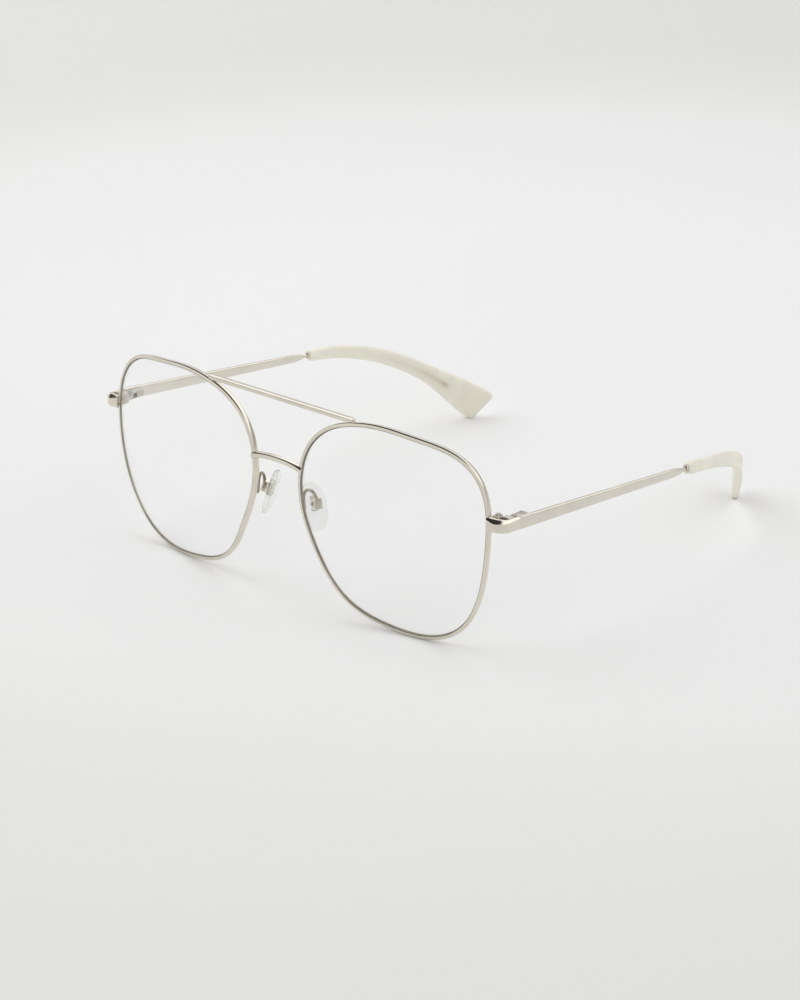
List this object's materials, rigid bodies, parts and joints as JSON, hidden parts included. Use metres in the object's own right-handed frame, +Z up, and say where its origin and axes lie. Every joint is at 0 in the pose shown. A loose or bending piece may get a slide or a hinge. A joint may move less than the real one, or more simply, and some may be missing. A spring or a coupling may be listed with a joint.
{
  "type": "reading glasses",
  "caption": "Large wire-rimmed reading glasses with a double bridge, clear lenses, folding temples with pearl tips and rocking nose pads.",
  "frame": {"origin": "on the ground, under the middle of the glasses' bounding box, as they stand open on the rims and the temple tips", "axes": "+X to the wearer's left, +Y from the lenses back to the ears, +Z up"},
  "size_m": [0.1396, 0.1435, 0.0561],
  "materials": {
    "champagne_metal": "pale champagne plating, polished on top, satin in front",
    "hinge_metal": "satin plating",
    "screw_steel": "bright steel",
    "pearl_plastic": "cream pearl, polished, slightly see-through",
    "clear_lens": "clear, polished",
    "clear_pad": "clear soft plastic"
  },
  "bodies": {
    "front_frame": {"bridge": "champagne_metal", "brow_bar": "champagne_metal", "left_rim": "champagne_metal", "left_lens": "clear_lens", "left_end_piece": "champagne_metal", "left_closing_block_upper": "hinge_metal", "left_closing_block_lower": "hinge_metal", "left_closing_screw": "screw_steel", "left_hinge_tongue": "hinge_metal", "left_pad_arm": "champagne_metal", "left_pad_box": "hinge_metal", "left_pad_screw": "screw_steel", "right_rim": "champagne_metal", "right_lens": "clear_lens", "right_end_piece": "champagne_metal", "right_closing_block_upper": "hinge_metal", "right_closing_block_lower": "hinge_metal", "right_closing_screw": "screw_steel", "right_hinge_tongue": "hinge_metal", "right_pad_arm": "champagne_metal", "right_pad_box": "hinge_metal", "right_pad_screw": "screw_steel"},
    "left_temple": {"left_hinge_fork": "hinge_metal", "left_hinge_screw": "screw_steel", "left_temple_arm": "champagne_metal", "left_tip_collar": "champagne_metal", "left_temple_tip": "pearl_plastic"},
    "right_temple": {"right_hinge_fork": "hinge_metal", "right_hinge_screw": "screw_steel", "right_temple_arm": "champagne_metal", "right_tip_collar": "champagne_metal", "right_temple_tip": "pearl_plastic"},
    "left_pad": {"left_pad_insert": "hinge_metal", "left_nose_pad": "clear_pad"},
    "right_pad": {"right_pad_insert": "hinge_metal", "right_nose_pad": "clear_pad"}
  },
  "joints": [
    {"name": "left_temple_fold", "type": "hinge", "parent": "front_frame", "child": "left_temple", "pos_m": [0.0669, -0.05713, 0.03657], "axis": [0, 0, 1], "range_deg": [0, 82]},
    {"name": "right_temple_fold", "type": "hinge", "parent": "front_frame", "child": "right_temple", "pos_m": [-0.0669, -0.05713, 0.03657], "axis": [0, 0, -1], "range_deg": [0, 75]},
    {"name": "left_nose_pad_rock", "type": "hinge", "parent": "front_frame", "child": "left_pad", "pos_m": [0.00924, -0.06504, 0.02784], "axis": [0.3584, 0.9336, 0], "range_deg": [-8, 8]},
    {"name": "right_nose_pad_rock", "type": "hinge", "parent": "front_frame", "child": "right_pad", "pos_m": [-0.00924, -0.06504, 0.02784], "axis": [-0.3584, 0.9336, 0], "range_deg": [-8, 8]}
  ]
}
